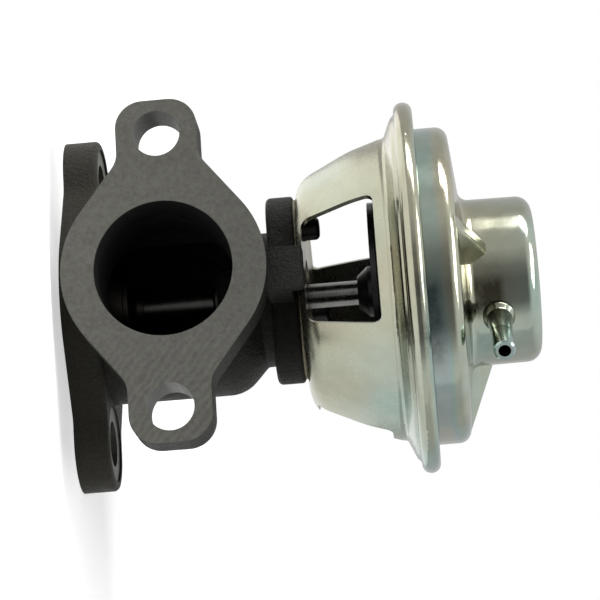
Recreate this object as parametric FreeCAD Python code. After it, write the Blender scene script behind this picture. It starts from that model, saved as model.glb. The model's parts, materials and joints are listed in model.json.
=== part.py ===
import FreeCAD, Part
import math
import os

# Vacuum-operated exhaust gas recirculation valve. All sizes are in millimetres.
# The origin is the centre of the base port, on the machined face of the base flange. +Z runs along the
# valve stem from the base flange to the vacuum chamber, and the front flange faces -Y.
# Angles round the stem are measured from -X towards -Y.

V = FreeCAD.Vector
ORIGIN = V(0, 0, 0)
X_AXIS = V(1, 0, 0)
Y_AXIS = V(0, 1, 0)
Z_AXIS = V(0, 0, 1)

# How far a cutting tool runs past a face and a joined form runs into its neighbour, the slack with which
# an edge is found on a face, and a third of a turn
PAST = 1.0
ON_FACE = 0.01
THIRD = 120.0

# Fits
PRESS_GAP = 0.02
RUNNING_GAP = 0.05
SEAT_GAP = 0.10
CLAMP_GAP = 0.10

# Bolt holes, the same on both flanges
BOLT_SPACING = 65.0
BOLT_HOLE_R = 5.5

# Base flange
BASE_PORT_R = 14.0
BASE_ROUND_R = 24.0
BASE_EAR_HALF = 11.2
BASE_EAR_WALL = 5.8
BASE_EAR_CORNER = 10.8
BASE_SHOULDER = 28.5
BASE_THICK = 8.3
SPOT_FACE_R = 9.3
SPOT_FACE_DEPTH = 0.5

# Front flange
FRONT_PORT_R = 16.0
FRONT_BORE_DEEP = 12.0
CORE_STEP = 0.5
FRONT_ROUND_R = 23.7
FRONT_EAR_HALF = 9.5
FRONT_EAR_WALL = 2.7
FRONT_EAR_CORNER = 6.5
FRONT_SHOULDER = 26.4
FRONT_THICK = 10.5
FRONT_REACH = 35.85
SHOULDER_FILLET = 6.0
CAST_ROUND = 1.2
STUB_FILLET = 1.6

# Chamber between the two ports
PORT_DEPTH = 6.5
FLOOR_THICK = 3.5
CHAMBER_R = 17.5
CHAMBER_WALL = 4.9
CEILING_ROUND = 7.0
FLOOR_ROUND = 2.0
PORT_ABOVE_FLOOR = 0.1
CEILING_ABOVE_PORT = 14.9
GUIDE_BOSS_R = 8.0
GUIDE_BOSS_DROP = 5.5
DOME_ROUND = 9.0
DOME_ABOVE_PORT = 14.1
NECK_R = 16.3
NECK_ABOVE_PORT = 20.0
STUB_WALL = 4.8

# Flange that carries the actuator: a rounded triangle with one screw in each lobe
DECK_ABOVE_PORT = 22.8
DECK_THICK = 6.6
DECK_ROUND = 0.9
SCREW_CIRCLE_R = 17.0
LOBE_R = 8.1
LOBE_ANGLE = 31.5
LUG_WIDTH = 10.0
LUG_RISE = 2.4
LUG_THICK = 2.9
LUG_ROUND = 1.2
LUG_GAP = 0.3

# Valve seat, head and stem
SEAT_R = 12.5
SEAT_BORE_R = 9.5
SEAT_PROUD = 3.0
SEAT_CONE = 1.5
SEAT_RECESS = 0.2
HEAD_R = 10.8
HEAD_EDGE = 1.3
HEAD_EDGE_ROUND = 0.3
HUB_R = 3.9
HUB_RISE = 4.0
HUB_STRAIGHT = 2.2
HUB_ROUND = 1.5
STEM_R = 3.0
SPIGOT_R = 2.2
SPIGOT_PROUD = 0.8
SPIGOT_CHAMFER = 0.4
HEAD_NUT_HIGH = 2.4
HEAD_NUT_FLATS = 7.0
NUT_TURN_ANGLE = 30.0

# Stem guide, seal and the parts that hold the seal
GUIDE_R = 5.5
GUIDE_PROUD = 1.3
GUIDE_CHAMFER = 0.6
SEAL_POCKET_R = 8.0
SEAL_POCKET_DEEP = 5.6
SEAL_HIGH = 3.2
SEAL_ROUND = 0.4
SEAL_LIP_WIDTH = 1.8
SEAL_LIP_DROP = 0.2
SEAL_GROOVE_WIDTH = 0.8
SEAL_GROOVE_DEEP = 1.4
CUP_THICK = 0.8
CUP_ROOM = 0.3
RING_WIRE_R = 0.6
RING_OPENING = 3.0

# Gasket and bracket. The widths below lead inwards from the rim to the foot.
GASKET_THICK = 0.5
BRACKET_SHEET = 1.2
BRACKET_HOLE_R = 9.0
RIM_R = 44.9
RIM_RISE = 25.2
RIM_ROUND = 2.2
LIP_WIDTH = 3.3
RIM_SHELF = 3.7
FLARE_TOP_RISE = 24.25
FLARE_WIDTH = 4.7
FLARE_RISE = 22.3
THROAT_RISE = 21.0
THROAT_ROUND = 3.0
THROAT_LEAN = 0.2
FLARE_ROOT_ROUND = 1.0
FLARE_ROUND = 1.8
JOGGLE_ROUND = 0.7
KNEE_WIDTH = 2.3
KNEE_RISE = 13.5
KNEE_ROUND = 30.0
FOOT_ROOM = 7.65
FOOT_ROUND = 7.5

# Windows of the bracket, between three legs that lie evenly about the front window's middle
FRONT_ANGLE = 91.75
FRONT_WINDOW_SPAN = 50.7
LEG_SPAN = 56.3
WINDOW_SILL = 1.6
WINDOW_TOP = 18.95
WINDOW_CORNER = 3.0

# Bracket screws and washers
SCREW_R = 2.0
SCREW_ROOM = 0.2
SCREW_HEAD_R = 2.8
SCREW_HEAD_HIGH = 3.4
SCREW_HEAD_ROUND = 1.2
SCREW_LENGTH = 11.0
SCREW_HOLE_DEEP = 5.6
SOCKET_FLATS = 2.5
SOCKET_DEEP = 1.8
WASHER_R = 2.95
WASHER_THICK = 0.7

# Diaphragm and the plates that clamp it
BEAD_THICK = 1.1
RUBBER_THICK = 1.0
FOLD_RISE = 3.4
PLATE_ROOM = 15.0
PLATE_THICK = 1.3
LOWER_PLATE_RISE = 17.0
PLATE_RIM_HIGH = 3.6
PLATE_RIM_ROUND = 2.2
HUB_SPACER_R = 6.2
HUB_SPACER_SMALL_R = 3.9
HUB_SPACER_HIGH = 3.8
HUB_SPACER_EDGE = 1.2
STUD_R = 2.5
STUD_PROUD = 1.2
STUD_CHAMFER = 0.5
STEM_WASHER_R = 7.0
STEM_WASHER_THICK = 1.2
STEM_NUT_FLATS = 8.0
STEM_NUT_HIGH = 4.0

# Cover
COVER_SHEET = 1.0
DRUM_INSET = 6.6
DRUM_FOOT_ROUND = 1.2
DRUM_CORNER = 3.0
SHOULDER_RISE = 9.85
SHOULDER_SLOPE = 1.85
DOME_DRUM_R = 20.2
DOME_FILLET = 2.4
DOME_TAPER = 0.2
DOME_CORNER = 3.6
TOP_RISE = 28.7
GUSSET_INSET = 1.2
GUSSET_RISE = 5.0
GUSSET_WIDTH = 12.0
GUSSET_DEPTH = 7.0
GUSSET_TOP_WIDTH = 2.8
GUSSET_ROUND = 1.2
GUSSET_ANGLE = 82.0

# Vacuum nipple
NIPPLE_R = 2.5
NIPPLE_BORE_R = 1.45
NIPPLE_LENGTH = 19.3
NIPPLE_STRAIGHT = 9.0
NIPPLE_FLARE = 0.45
NIPPLE_TIP_CHAMFER = 0.4
NIPPLE_ANGLE = 129.0
NIPPLE_BELOW_TOP = 10.2
NIPPLE_TAIL = 1.6
COLLAR_LEDGE = 0.85
COLLAR_STEP = 0.8
COLLAR_THICK = 2.2
COLLAR_ROUND = 0.7

# Return spring and its seat
SPRING_R = 14.0
SPRING_WIRE_R = 1.1
SPRING_TURNS = 6.5
SPRING_SIDES = 8
SPRING_GROUND = 0.3
SPRING_SEAT_SHEET = 1.0
SPRING_SEAT_CUP_HIGH = 3.0
SPRING_SEAT_HOLE_R = 6.0
SPRING_SEAT_ROUND = 1.4
SPRING_SEAT_ROOM = 0.2

# Radii that follow from the rim, from the outside in
CLAMP_R = RIM_R - RIM_ROUND
FLARE_R = RIM_R - RIM_SHELF
THROAT_R = FLARE_R - FLARE_WIDTH
KNEE_R = THROAT_R - KNEE_WIDTH
DRUM_R = RIM_R - DRUM_INSET
PLATE_R = THROAT_R - PLATE_ROOM
GUSSET_OUTER_R = DRUM_R - GUSSET_INSET
NIPPLE_REACH = DOME_DRUM_R + NIPPLE_LENGTH
NIPPLE_ROOT_R = NIPPLE_R + NIPPLE_FLARE
COLLAR_R = NIPPLE_ROOT_R + COLLAR_LEDGE

# The foot's flat ends outside the washers
FOOT_R = SCREW_CIRCLE_R + WASHER_R + FOOT_ROOM

# Levels along the stem
FLOOR_Z = PORT_DEPTH + FLOOR_THICK
PORT_Z = FLOOR_Z + PORT_ABOVE_FLOOR + FRONT_PORT_R
SEAT_TOP_Z = FLOOR_Z + SEAT_PROUD
DECK_Z = PORT_Z + DECK_ABOVE_PORT
DECK_TOP_Z = DECK_Z + DECK_THICK
BRACKET_Z = DECK_TOP_Z + GASKET_THICK
BRACKET_FLOOR_Z = BRACKET_Z + BRACKET_SHEET
RIM_Z = BRACKET_Z + RIM_RISE
BEAD_Z = RIM_Z + BRACKET_SHEET
COVER_Z = BEAD_Z + BEAD_THICK
COVER_FLANGE_TOP_Z = COVER_Z + COVER_SHEET
TOP_Z = COVER_Z + TOP_RISE
LOWER_PLATE_Z = BRACKET_Z + LOWER_PLATE_RISE
RUBBER_Z = LOWER_PLATE_Z + PLATE_THICK + CLAMP_GAP
UPPER_PLATE_Z = RUBBER_Z + RUBBER_THICK + CLAMP_GAP
HEAD_EDGE_Z = SEAT_TOP_Z - (SEAT_BORE_R + SEAT_CONE - HEAD_R) + SEAT_GAP * math.sqrt(2)
HUB_TOP_Z = HEAD_EDGE_Z + HUB_RISE


def rounded_path(corners, closed=True):
    """Lines through the corners (u, v, radius), each turned by an arc of its radius."""
    count = len(corners)
    stops = []
    for i, (u, v, radius) in enumerate(corners):
        here = V(u, v, 0)
        at_end = not closed and i in (0, count - 1)
        if radius <= 0 or at_end:
            stops.append((here, None, here))
            continue
        back = (V(*corners[i - 1][:2], 0) - here).normalize()
        ahead = (V(*corners[(i + 1) % count][:2], 0) - here).normalize()
        half = back.getAngle(ahead) / 2
        run = radius / math.tan(half)
        inward = (back + ahead).normalize()
        middle = here + inward * (radius / math.sin(half) - radius)
        stops.append((here + back * run, middle, here + ahead * run))
    edges = []
    for i, (start, middle, end) in enumerate(stops):
        if middle is not None:
            edges.append(Part.Arc(start, middle, end).toShape())
        if i < count - 1 or closed:
            following = stops[(i + 1) % count][0]
            if end.distanceToPoint(following) > 1e-6:
                edges.append(Part.makeLine(end, following))
    return Part.Wire(edges)


def offset_left(corners, gap):
    """The open path of corners moved to its left by gap, with its arcs kept concentric."""
    points = [V(u, v, 0) for u, v, radius in corners]
    ways = [(points[i + 1] - points[i]).normalize() for i in range(len(points) - 1)]
    moved = []
    for i, point in enumerate(points):
        way_in = ways[max(i - 1, 0)]
        way_out = ways[min(i, len(ways) - 1)]
        left_in = V(-way_in.y, way_in.x, 0)
        left_out = V(-way_out.y, way_out.x, 0)
        middle = (left_in + left_out).normalize()
        place = point + middle * (gap / middle.dot(left_in))
        turns_left = way_in.cross(way_out).z > 0
        radius = corners[i][2]
        if radius > 0:
            radius = radius - gap if turns_left else radius + gap
        moved.append((place.x, place.y, radius))
    return moved


def revolve(corners):
    """A solid of revolution about the stem from a closed outline of (radius, height, rounding)."""
    wire = rounded_path(corners)
    wire.rotate(ORIGIN, X_AXIS, 90)
    return Part.Face(wire).revolve(ORIGIN, Z_AXIS, 360)


def revolved_sheet(corners, thickness):
    """A pressed sheet of revolution whose outer side follows the open path of corners."""
    return revolve(corners + offset_left(corners, thickness)[::-1])


def prism(corners, low, high):
    """An outline in the XY plane, drawn up from low to high."""
    wire = rounded_path(corners)
    wire.translate(V(0, 0, low))
    return Part.Face(wire).extrude(V(0, 0, high - low))


def rod(radius, low, high, x=0.0, y=0.0):
    return Part.makeCylinder(radius, high - low, V(x, y, low), Z_AXIS)


def tube(outer, inner, low, high):
    return rod(outer, low, high).cut(rod(inner, low, high))


def hexagon(flats, low, high):
    """A nut's hexagon, its corners turned down at both ends."""
    corner = flats / math.sqrt(3)
    points = []
    for i in range(6):
        angle = math.radians(60 * i)
        points.append((corner * math.cos(angle), corner * math.sin(angle), 0))
    blank = prism(points, low, high)
    drop = (corner - flats / 2) * math.tan(math.radians(NUT_TURN_ANGLE))
    turned = revolve([(0, low, 0), (flats / 2, low, 0), (corner, low + drop, 0),
                      (corner, high - drop, 0), (flats / 2, high, 0), (0, high, 0)])
    return blank.common(turned)


def around(shape, angle):
    """A copy of a shape turned about the stem."""
    copy = shape.copy()
    copy.rotate(ORIGIN, Z_AXIS, angle)
    return copy


def three(shape, angle):
    """Three copies of a shape that lies towards -X, evenly round the stem from angle."""
    return [around(shape, angle + THIRD * i) for i in range(3)]


def flange_outline(round_r, ear_half, reach, corner, shoulder):
    """A two-bolt flange: a round middle, straight tangents and two ears along X."""
    span = math.hypot(shoulder, ear_half)
    tangent = math.atan2(shoulder, ear_half) - math.acos(round_r / span)
    quarter = [(reach, ear_half, corner), (shoulder, ear_half, SHOULDER_FILLET)]
    cap = round_r / math.cos(tangent)
    left = [(-u, v, radius) for u, v, radius in quarter[::-1]]
    lower = [(-u, -v, radius) for u, v, radius in quarter]
    right = [(u, -v, radius) for u, v, radius in quarter[::-1]]
    return quarter + [(0, cap, round_r)] + left + lower + [(0, -cap, round_r)] + right


def flange_plate(outline, thickness):
    """The flange as a plate with its machined face at Z = 0 and its back edge rounded as cast."""
    plate = prism(outline, 0, thickness)
    back = [edge for edge in plate.Edges if edge.BoundBox.ZMin > thickness - ON_FACE]
    return plate.makeFillet(CAST_ROUND, back)


def deck_outline(inset):
    corner = SCREW_CIRCLE_R + 2 * LOBE_R - 2 * inset
    points = []
    for i in range(3):
        angle = math.radians(LOBE_ANGLE + THIRD * i)
        points.append((-corner * math.cos(angle), -corner * math.sin(angle), LOBE_R - inset))
    return points


def to_front(shape):
    """A shape that stands on Z = 0, turned so that it stands on the front flange's face."""
    shape.rotate(ORIGIN, X_AXIS, -90)
    shape.translate(V(0, -FRONT_REACH, PORT_Z))
    return shape


def flanges():
    """Both bolted flanges, and the stub that the front one stands on."""
    base_reach = BOLT_SPACING / 2 + BOLT_HOLE_R + BASE_EAR_WALL
    base = flange_plate(flange_outline(BASE_ROUND_R, BASE_EAR_HALF, base_reach, BASE_EAR_CORNER,
                                       BASE_SHOULDER), BASE_THICK)
    front_reach = BOLT_SPACING / 2 + BOLT_HOLE_R + FRONT_EAR_WALL
    front = flange_plate(flange_outline(FRONT_ROUND_R, FRONT_EAR_HALF, front_reach, FRONT_EAR_CORNER,
                                        FRONT_SHOULDER), FRONT_THICK)
    stub_r = FRONT_PORT_R + STUB_WALL
    foot_r = stub_r + STUB_FILLET
    inside = FRONT_THICK - CAST_ROUND - PAST
    stub = revolve([(0, inside, 0), (foot_r, inside, 0), (foot_r, FRONT_THICK, 0),
                    (stub_r, FRONT_THICK, STUB_FILLET), (stub_r, FRONT_REACH, 0), (0, FRONT_REACH, 0)])
    return [base, to_front(front), to_front(stub)]


def deck():
    """The three-lobed flange under the bracket, both its edges rounded."""
    plate = prism(deck_outline(0), DECK_Z, DECK_TOP_Z)
    under = [edge for edge in plate.Edges if edge.BoundBox.ZMax < DECK_Z + ON_FACE]
    plate = plate.makeFillet(CAST_ROUND, under)
    over = [edge for edge in plate.Edges if edge.BoundBox.ZMin > DECK_TOP_Z - ON_FACE]
    return plate.makeFillet(DECK_ROUND, over)


def lug():
    """The cast lug that locates the bracket: its crest stands up just outside the bracket's foot."""
    back = FOOT_R + LUG_GAP + LUG_THICK
    corner = V(-back, -LUG_WIDTH / 2, DECK_Z)
    bridge = Part.makeBox(back - SCREW_CIRCLE_R, LUG_WIDTH, DECK_THICK - DECK_ROUND, corner)
    crest = Part.makeBox(LUG_THICK, LUG_WIDTH, DECK_THICK + LUG_RISE, corner)
    top = [edge for edge in crest.Edges if edge.BoundBox.ZMin > DECK_TOP_Z]
    return around(bridge.fuse(crest.makeFillet(LUG_ROUND, top)), FRONT_ANGLE)


def passages():
    """The tools that hollow the casting: chamber, both ports, seat, guide and seal pocket."""
    ceiling = PORT_Z + CEILING_ABOVE_PORT
    guide_boss = rod(GUIDE_BOSS_R, ceiling - GUIDE_BOSS_DROP, DECK_Z)
    cavity = revolve([(0, FLOOR_Z, 0), (CHAMBER_R, FLOOR_Z, FLOOR_ROUND),
                      (CHAMBER_R, ceiling, CEILING_ROUND), (0, ceiling, 0)]).cut(guide_boss)
    core_r = FRONT_PORT_R - CORE_STEP
    core_end = FRONT_REACH - SEAT_R
    bore = revolve([(0, -PAST, 0), (FRONT_PORT_R, -PAST, 0), (FRONT_PORT_R, FRONT_BORE_DEEP, 0),
                    (core_r, FRONT_BORE_DEEP + CORE_STEP, 0), (core_r, core_end, 0), (0, core_end, 0)])
    return [cavity, to_front(bore), rod(BASE_PORT_R, -PAST, PORT_DEPTH),
            rod(SEAT_R + PRESS_GAP, 0, FLOOR_Z + PAST), rod(GUIDE_R + PRESS_GAP, FLOOR_Z, DECK_TOP_Z + PAST),
            rod(SEAL_POCKET_R, DECK_TOP_Z - SEAL_POCKET_DEEP, DECK_TOP_Z + PAST)]


def bolt_holes():
    """The holes in both pairs of ears, the spot faces and the three screw holes."""
    screw_end = DECK_TOP_Z - SCREW_HOLE_DEEP
    tools = three(rod(SCREW_R + RUNNING_GAP, screw_end, DECK_TOP_Z + PAST, -SCREW_CIRCLE_R), LOBE_ANGLE)
    for x in (-BOLT_SPACING / 2, BOLT_SPACING / 2):
        tools.append(rod(BOLT_HOLE_R, -PAST, BASE_THICK + PAST, x))
        tools.append(rod(SPOT_FACE_R, BASE_THICK - SPOT_FACE_DEPTH, BASE_THICK + PAST, x))
        tools.append(to_front(rod(BOLT_HOLE_R, -PAST, FRONT_THICK + PAST, x)))
    return tools


def valve_body():
    """The cast elbow with both flanges, the chamber and the deck for the actuator."""
    outer_r = CHAMBER_R + CHAMBER_WALL
    shell = revolve([(0, PAST, 0), (outer_r, PAST, 0), (outer_r, PORT_Z + DOME_ABOVE_PORT, DOME_ROUND),
                     (NECK_R, PORT_Z + NECK_ABOVE_PORT, CAST_ROUND), (NECK_R, DECK_Z + PAST, 0),
                     (0, DECK_Z + PAST, 0)])
    return shell.fuse(flanges() + [deck(), lug()]).cut(passages() + bolt_holes())


def valve_seat():
    """The hard ring pressed into the chamber floor, with a 45 degree face for the head."""
    low = PORT_DEPTH + SEAT_RECESS
    return revolve([(SEAT_BORE_R, low, 0), (SEAT_R, low, 0), (SEAT_R, SEAT_TOP_Z, 0),
                    (SEAT_BORE_R + SEAT_CONE, SEAT_TOP_Z, 0), (SEAT_BORE_R, SEAT_TOP_Z - SEAT_CONE, 0)])


def valve_head():
    """The poppet disc: a 45 degree face below, a flat edge and a hub above."""
    bore = SPIGOT_R + PRESS_GAP
    low = HEAD_EDGE_Z - SEAT_CONE
    return revolve([(bore, low, 0), (HEAD_R - SEAT_CONE, low, 0), (HEAD_R, HEAD_EDGE_Z, 0),
                    (HEAD_R, HEAD_EDGE_Z + HEAD_EDGE, HEAD_EDGE_ROUND),
                    (HUB_R, HUB_TOP_Z - HUB_STRAIGHT, HUB_ROUND),
                    (HUB_R, HUB_TOP_Z, 0), (bore, HUB_TOP_Z, 0)])


def head_nut():
    high = HEAD_EDGE_Z - SEAT_CONE
    nut = hexagon(HEAD_NUT_FLATS, high - HEAD_NUT_HIGH, high)
    return nut.cut(rod(SPIGOT_R + PRESS_GAP, high - HEAD_NUT_HIGH, high))


def valve_stem():
    """The ground rod with a spigot for the head and a stud for the plates."""
    spigot_low = HEAD_EDGE_Z - SEAT_CONE - HEAD_NUT_HIGH - SPIGOT_PROUD
    shoulder = LOWER_PLATE_Z
    stud_top = UPPER_PLATE_Z + PLATE_THICK + STEM_WASHER_THICK + STEM_NUT_HIGH + STUD_PROUD
    return revolve([(0, spigot_low, 0), (SPIGOT_R - SPIGOT_CHAMFER, spigot_low, 0),
                    (SPIGOT_R, spigot_low + SPIGOT_CHAMFER, 0), (SPIGOT_R, HUB_TOP_Z, 0),
                    (STEM_R, HUB_TOP_Z, 0), (STEM_R, shoulder, 0), (STUD_R, shoulder, 0),
                    (STUD_R, stud_top - STUD_CHAMFER, 0), (STUD_R - STUD_CHAMFER, stud_top, 0),
                    (0, stud_top, 0)])


def stem_guide():
    """The bush pressed into the roof of the chamber."""
    low = PORT_Z + CEILING_ABOVE_PORT - GUIDE_BOSS_DROP - GUIDE_PROUD
    high = DECK_TOP_Z - SEAL_POCKET_DEEP
    bore = STEM_R + RUNNING_GAP
    return revolve([(bore, low, 0), (GUIDE_R - GUIDE_CHAMFER, low, 0), (GUIDE_R, low + GUIDE_CHAMFER, 0),
                    (GUIDE_R, high, 0), (bore, high, 0)])


def stem_seal():
    """The packing ring above the guide."""
    low = DECK_TOP_Z - SEAL_POCKET_DEEP
    bore = STEM_R + RUNNING_GAP
    outer = SEAL_POCKET_R - PRESS_GAP
    high = low + SEAL_HIGH
    groove = bore + SEAL_LIP_WIDTH
    return revolve([(bore, low, 0), (outer, low, 0), (outer, high, SEAL_ROUND),
                    (groove + SEAL_GROOVE_WIDTH, high, 0), (groove, high - SEAL_GROOVE_DEEP, 0),
                    (bore, high - SEAL_LIP_DROP, 0)])


def seal_cup():
    """The pressed cup washer that covers the seal."""
    low = DECK_TOP_Z - SEAL_POCKET_DEEP + SEAL_HIGH
    return tube(SEAL_POCKET_R - PRESS_GAP, STEM_R + CUP_ROOM, low, low + CUP_THICK)


def seal_ring():
    """The snap ring in the mouth of the pocket: a round wire with a gap."""
    low = DECK_TOP_Z - SEAL_POCKET_DEEP + SEAL_HIGH + CUP_THICK
    ring = Part.makeTorus(SEAL_POCKET_R - RING_WIRE_R - PRESS_GAP, RING_WIRE_R, V(0, 0, low + RING_WIRE_R))
    opening = Part.makeBox(SEAL_POCKET_R + PAST, RING_OPENING, 4 * RING_WIRE_R,
                           V(0, -RING_OPENING / 2, low - RING_WIRE_R))
    return ring.cut(opening)


def body_gasket():
    """The thin sheet gasket, cut to the flat top of the deck."""
    gasket = prism(deck_outline(DECK_ROUND), DECK_TOP_Z, BRACKET_Z)
    low = DECK_TOP_Z - PAST
    high = BRACKET_Z + PAST
    holes = three(rod(SCREW_R + SCREW_ROOM, low, high, -SCREW_CIRCLE_R), LOBE_ANGLE)
    return gasket.cut([rod(BRACKET_HOLE_R, low, high)] + holes)


def bracket_path():
    """The outer side of the bracket, from its centre hole round the foot and out to the rolled lip."""
    lip_end = RIM_R - LIP_WIDTH
    rim_top = RIM_Z + 2 * BRACKET_SHEET + BEAD_THICK + COVER_SHEET
    joggle = RIM_RISE - FLARE_TOP_RISE
    return [(BRACKET_HOLE_R, BRACKET_Z, 0),
            (FOOT_R, BRACKET_Z, FOOT_ROUND),
            (KNEE_R, BRACKET_Z + KNEE_RISE, KNEE_ROUND),
            (THROAT_R, BRACKET_Z + THROAT_RISE, THROAT_ROUND),
            (THROAT_R + THROAT_LEAN, BRACKET_Z + FLARE_RISE, FLARE_ROOT_ROUND),
            (FLARE_R, BRACKET_Z + FLARE_TOP_RISE, FLARE_ROUND),
            (FLARE_R + joggle, RIM_Z, JOGGLE_ROUND),
            (RIM_R, RIM_Z, RIM_ROUND),
            (RIM_R, rim_top, RIM_ROUND),
            (lip_end, rim_top, 0)]


def window_section(distance, span):
    """The window's rounded outline on a plane at that distance from the stem, its sides on radial planes."""
    half = distance * math.tan(math.radians(span / 2))
    corner = WINDOW_CORNER * distance / RIM_R
    low = BRACKET_Z + WINDOW_SILL
    high = BRACKET_Z + WINDOW_TOP
    wire = rounded_path([(low, -half, corner), (high, -half, corner), (high, half, corner),
                         (low, half, corner)])
    wire.translate(V(0, 0, distance))
    wire.rotate(ORIGIN, Y_AXIS, -90)
    return wire


def window(middle, span):
    """The tool for one window, a wedge that grows from near the stem to past the rim."""
    sections = [window_section(distance, span) for distance in (BRACKET_HOLE_R, RIM_R)]
    return around(Part.makeLoft(sections, True, True), middle)


def bracket():
    """The pressed cup with three windows, whose edge is rolled over the diaphragm and the cover."""
    cup = revolved_sheet(bracket_path(), BRACKET_SHEET)
    side_span = (360 - FRONT_WINDOW_SPAN - 3 * LEG_SPAN) / 2
    side_turn = FRONT_WINDOW_SPAN / 2 + LEG_SPAN + side_span / 2
    windows = [window(FRONT_ANGLE, FRONT_WINDOW_SPAN), window(FRONT_ANGLE + side_turn, side_span),
               window(FRONT_ANGLE - side_turn, side_span)]
    hole = rod(SCREW_R + SCREW_ROOM, BRACKET_Z - PAST, BRACKET_FLOOR_Z + PAST, -SCREW_CIRCLE_R)
    return cup.cut(windows + three(hole, LOBE_ANGLE))


def bracket_screws():
    """Three socket screws with domed heads, from the bracket's floor into the deck."""
    head_low = BRACKET_FLOOR_Z + WASHER_THICK
    head_high = head_low + SCREW_HEAD_HIGH
    tip = head_high - SCREW_LENGTH
    screw = revolve([(0, tip, 0), (SCREW_R, tip, 0), (SCREW_R, head_low, 0), (SCREW_HEAD_R, head_low, 0),
                     (SCREW_HEAD_R, head_high, SCREW_HEAD_ROUND), (0, head_high, 0)])
    screw = screw.cut(hexagon(SOCKET_FLATS, head_high - SOCKET_DEEP, head_high + PAST))
    screw.translate(V(-SCREW_CIRCLE_R, 0, 0))
    return Part.makeCompound(three(screw, LOBE_ANGLE))


def screw_washers():
    """The three plain washers under the screw heads."""
    washer = tube(WASHER_R, SCREW_R + SCREW_ROOM, BRACKET_FLOOR_Z, BRACKET_FLOOR_Z + WASHER_THICK)
    washer.translate(V(-SCREW_CIRCLE_R, 0, 0))
    return Part.makeCompound(three(washer, LOBE_ANGLE))


def cover_path():
    """The outer side of the cover, from its clamped flange over the drum to the middle of the top."""
    return [(CLAMP_R, COVER_FLANGE_TOP_Z, 0),
            (DRUM_R, COVER_FLANGE_TOP_Z, DRUM_FOOT_ROUND),
            (DRUM_R, COVER_Z + SHOULDER_RISE, DRUM_CORNER),
            (DOME_DRUM_R, COVER_Z + SHOULDER_RISE + SHOULDER_SLOPE, DOME_FILLET),
            (DOME_DRUM_R - DOME_TAPER, TOP_Z, DOME_CORNER),
            (0, TOP_Z, 0)]


def gusset(shrink):
    """One pressed gusset between the shoulder and the small drum, lying towards -X."""
    rise = GUSSET_RISE + SHOULDER_SLOPE
    run = GUSSET_OUTER_R - DOME_DRUM_R
    slope = math.degrees(math.atan2(rise, run))
    half = GUSSET_WIDTH / 2 - shrink
    top_half = GUSSET_TOP_WIDTH / 2 - shrink / 2
    bar = prism([(-shrink, -top_half, GUSSET_ROUND - shrink), (-GUSSET_DEPTH, -half, 0),
                 (-GUSSET_DEPTH, half, 0), (-shrink, top_half, GUSSET_ROUND - shrink)], 0,
                math.hypot(run, rise) + COVER_SHEET + 2 * PAST)
    bar.rotate(ORIGIN, Z_AXIS, 180)
    bar.rotate(ORIGIN, Y_AXIS, 90 - slope)
    bar.translate(V(-GUSSET_OUTER_R, 0, COVER_Z + SHOULDER_RISE))
    return bar


def diaphragm_cover():
    """The stepped drum, hollow, with three gussets and the hole for the nipple."""
    path = cover_path()
    inner = offset_left(path, COVER_SHEET)
    inner_r = inner[1][0]
    hollow = revolve([(0, COVER_Z - PAST, 0), (inner_r, COVER_Z - PAST, 0)] + inner[2:])
    ribs = [rib.cut(hollow) for rib in three(gusset(0), GUSSET_ANGLE)]
    shell = revolved_sheet(path, COVER_SHEET).fuse(ribs).cut(three(gusset(COVER_SHEET), GUSSET_ANGLE))
    hole = Part.makeCylinder(NIPPLE_R + PRESS_GAP, RIM_R, V(0, 0, TOP_Z - NIPPLE_BELOW_TOP), -X_AXIS)
    return shell.cut(around(hole, NIPPLE_ANGLE))


def vacuum_nipple():
    """The tube for the vacuum hose: a straight end, a slight flare and a cone-shaped collar on the drum."""
    inside = DOME_DRUM_R - COVER_SHEET - NIPPLE_TAIL
    collar_low = DOME_DRUM_R - COLLAR_R
    collar_high = DOME_DRUM_R + COLLAR_THICK
    straight_low = NIPPLE_REACH - NIPPLE_STRAIGHT
    turned = revolve([(NIPPLE_BORE_R, inside, 0), (NIPPLE_R, inside, 0), (NIPPLE_R, collar_low, 0),
                      (COLLAR_R, collar_low, 0), (COLLAR_R, DOME_DRUM_R + COLLAR_STEP, COLLAR_ROUND),
                      (NIPPLE_ROOT_R, collar_high, COLLAR_ROUND), (NIPPLE_R, straight_low, 0),
                      (NIPPLE_R, NIPPLE_REACH - NIPPLE_TIP_CHAMFER, 0),
                      (NIPPLE_R - NIPPLE_TIP_CHAMFER, NIPPLE_REACH, 0), (NIPPLE_BORE_R, NIPPLE_REACH, 0)])
    stem = rod(NIPPLE_R, inside, collar_high)
    for shape in (turned, stem):
        shape.rotate(ORIGIN, Y_AXIS, -90)
        shape.translate(V(0, 0, TOP_Z - NIPPLE_BELOW_TOP))
    drum = revolve(cover_path() + [(0, COVER_Z, 0), (DRUM_R, COVER_Z, 0)])
    return around(turned.cut(drum.cut(stem)), NIPPLE_ANGLE)


def diaphragm():
    """The rubber disc: a clamped rim, one rolled fold and a flat middle between the plates."""
    eye = STUD_R + SEAT_GAP
    middle = PLATE_R + RUBBER_THICK
    room = THROAT_R - BRACKET_SHEET - middle
    crest = middle + room / 3
    trough = middle + room * 2 / 3
    outer = THROAT_R + BRACKET_SHEET
    top = RUBBER_Z + RUBBER_THICK
    bend = 2 * RUBBER_THICK
    lower = [(eye, RUBBER_Z, 0), (middle, RUBBER_Z, RUBBER_THICK), (crest, RUBBER_Z + FOLD_RISE, bend),
             (trough, RUBBER_Z + RUBBER_THICK, bend), (outer, BEAD_Z, bend), (CLAMP_R, BEAD_Z, 0)]
    upper = [(CLAMP_R, COVER_Z, 0), (outer - RUBBER_THICK / 2, COVER_Z, bend),
             (trough, top + RUBBER_THICK, RUBBER_THICK), (crest, top + FOLD_RISE, bend),
             (middle - RUBBER_THICK / 2, top, RUBBER_THICK), (eye, top, 0)]
    return revolve(lower + upper)


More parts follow.
